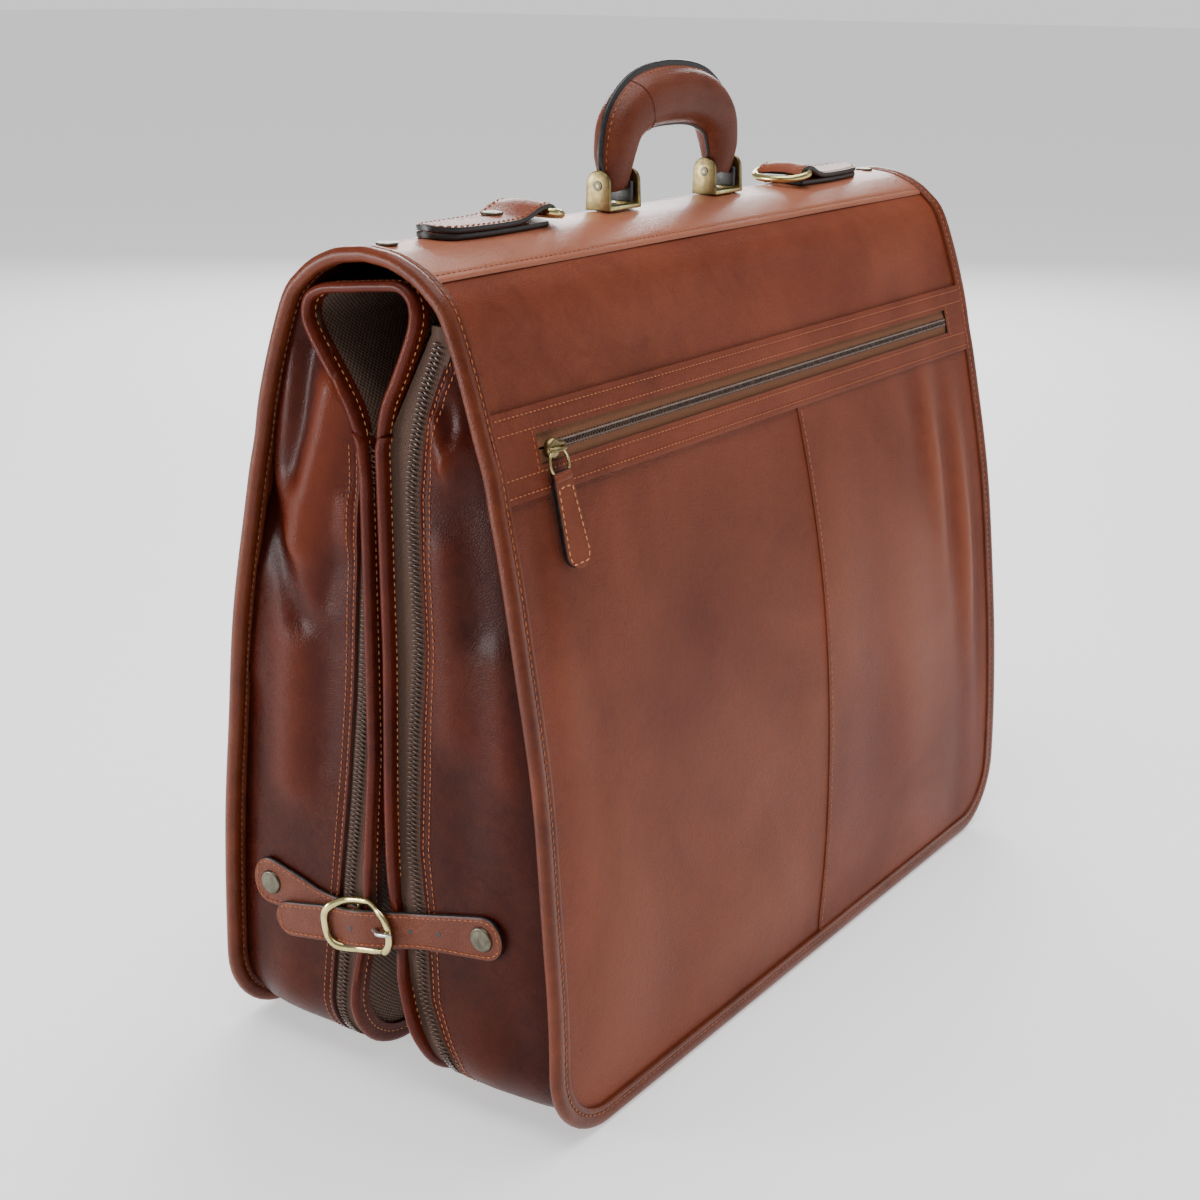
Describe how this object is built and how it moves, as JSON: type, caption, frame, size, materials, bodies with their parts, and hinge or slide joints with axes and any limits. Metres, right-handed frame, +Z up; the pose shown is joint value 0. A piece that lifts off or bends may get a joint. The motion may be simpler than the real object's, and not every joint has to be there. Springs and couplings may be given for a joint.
{
  "type": "garment bag",
  "caption": "Folded leather garment bag with a handle on its spine, two zipped halves that hinge open, a zipped front pocket and buckled end straps.",
  "frame": {"origin": "on the floor under the middle of the standing bag", "axes": "+X along the bag's length, -Y towards the front with the pocket, +Z up through the handle"},
  "size_m": [0.5948, 0.252, 0.572],
  "materials": {
    "cognac_leather": "glossy",
    "tan_leather": "glossy",
    "black_edge": "satin",
    "canvas": "matt",
    "zip_tape": "matt",
    "brass": "polished",
    "old_brass": "antique",
    "steel": "dull",
    "board": "matt"
  },
  "bodies": {
    "spine": {"spine_cover": "cognac_leather", "spine_board": "board", "spine_binding_left": "tan_leather", "spine_binding_right": "tan_leather", "fold_tunnel": "canvas", "spine_rivet_left": "old_brass", "spine_rivet_right": "old_brass", "handle_bracket_left": "brass", "handle_bracket_right": "brass", "ring_tab_left": "tan_leather", "ring_tab_right": "tan_leather", "ring_tab_rivet_left": "old_brass", "ring_tab_rivet_right": "old_brass"},
    "handle": {"handle_grip": "cognac_leather", "handle_core": "steel", "handle_welt": "black_edge", "handle_pin_left": "old_brass", "handle_pin_right": "old_brass"},
    "ring_left": {"strap_ring_left": "brass"},
    "ring_right": {"strap_ring_right": "brass"},
    "front_half": {"front_yoke": "cognac_leather", "pocket_band": "tan_leather", "pocket_zip": "zip_tape", "pocket_lining": "canvas", "front_panel_left": "cognac_leather", "front_panel_right": "cognac_leather", "front_binding": "tan_leather", "front_gusset": "cognac_leather", "front_zip": "zip_tape", "front_inner_panel": "canvas", "front_inner_binding": "tan_leather", "front_strap_left": "tan_leather", "front_strap_right": "tan_leather", "front_strap_rivet_left": "old_brass", "front_strap_rivet_right": "old_brass"},
    "rear_half": {"rear_panel": "cognac_leather", "rear_binding": "tan_leather", "rear_gusset": "cognac_leather", "rear_zip": "zip_tape", "rear_inner_panel": "canvas", "rear_inner_binding": "tan_leather", "rear_strap_left": "tan_leather", "rear_strap_right": "tan_leather", "rear_strap_rivet_left": "old_brass", "rear_strap_rivet_right": "old_brass", "hanger_clamp": "old_brass", "garment_strap": "canvas"},
    "pocket_slider": {"pocket_slider": "brass"},
    "pocket_ring": {"pocket_pull_ring": "brass"},
    "pocket_pull": {"pocket_pull_tab": "tan_leather"},
    "front_slider": {"front_zip_slider": "old_brass"},
    "front_pull": {"front_zip_pull": "old_brass"},
    "rear_slider": {"rear_zip_slider": "old_brass"},
    "rear_pull": {"rear_zip_pull": "old_brass"},
    "buckle_left": {"buckle_frame_left": "brass"},
    "buckle_right": {"buckle_frame_right": "brass"},
    "prong_left": {"buckle_prong_left": "old_brass"},
    "prong_right": {"buckle_prong_right": "old_brass"}
  },
  "joints": [
    {"name": "front_fold", "type": "hinge", "parent": "spine", "child": "front_half", "pos_m": [0, -0.0455, 0.473], "axis": [-1, 0, 0], "range_deg": [0, 80], "deforming": ["front_strap_left", "front_strap_right"]},
    {"name": "rear_fold", "type": "hinge", "parent": "spine", "child": "rear_half", "pos_m": [0, 0.0455, 0.473], "axis": [1, 0, 0], "range_deg": [0, 80]},
    {"name": "handle_swing", "type": "hinge", "parent": "spine", "child": "handle", "pos_m": [0, 0, 0.505], "axis": [1, 0, 0], "range_deg": [-80, 80]},
    {"name": "ring_left_lift", "type": "hinge", "parent": "spine", "child": "ring_left", "pos_m": [-0.15, 0, 0.4975], "axis": [0, -1, 0], "range_deg": [0, 120]},
    {"name": "ring_right_lift", "type": "hinge", "parent": "spine", "child": "ring_right", "pos_m": [0.15, 0, 0.4975], "axis": [0, 1, 0], "range_deg": [0, 120]},
    {"name": "pocket_slide", "type": "slide", "parent": "front_half", "child": "pocket_slider", "axis": [1, 0, 0], "range_m": [0, 0.465]},
    {"name": "pocket_ring_swing", "type": "hinge", "parent": "pocket_slider", "child": "pocket_ring", "pos_m": [-0.236, -0.08525, 0.388], "axis": [-1, 0, 0], "range_deg": [0, 60]},
    {"name": "pocket_pull_swing", "type": "hinge", "parent": "pocket_ring", "child": "pocket_pull", "pos_m": [-0.236, -0.08912, 0.37248], "axis": [-1, 0, 0], "range_deg": [0, 70]},
    {"name": "front_zip_slide", "type": "slide", "parent": "front_half", "child": "front_slider", "axis": [0, 0, -1], "range_m": [0, 0.19]},
    {"name": "front_pull_swing", "type": "hinge", "parent": "front_slider", "child": "front_pull", "pos_m": [0.289, -0.0215, 0.3736], "axis": [0, -1, 0], "range_deg": [0, 80]},
    {"name": "rear_zip_slide", "type": "slide", "parent": "rear_half", "child": "rear_slider", "axis": [0, 0, -1], "range_m": [0, 0.19]},
    {"name": "rear_pull_swing", "type": "hinge", "parent": "rear_slider", "child": "rear_pull", "pos_m": [0.289, 0.014, 0.3736], "axis": [0, -1, 0], "range_deg": [0, 80]},
    {"name": "buckle_left_rock", "type": "hinge", "parent": "rear_half", "child": "buckle_left", "pos_m": [-0.287, 0.015, 0.10111], "axis": [0, 0.2015, 0.9795], "range_deg": [-8, 8]},
    {"name": "buckle_right_rock", "type": "hinge", "parent": "rear_half", "child": "buckle_right", "pos_m": [0.287, 0.015, 0.10111], "axis": [0, 0.2015, 0.9795], "range_deg": [-8, 8]},
    {"name": "prong_left_lift", "type": "hinge", "parent": "buckle_left", "child": "prong_left", "pos_m": [-0.287, 0.015, 0.10111], "axis": [0, -0.2015, -0.9795], "range_deg": [0, 75]},
    {"name": "prong_right_lift", "type": "hinge", "parent": "buckle_right", "child": "prong_right", "pos_m": [0.287, 0.015, 0.10111], "axis": [0, 0.2015, 0.9795], "range_deg": [0, 75]}
  ]
}
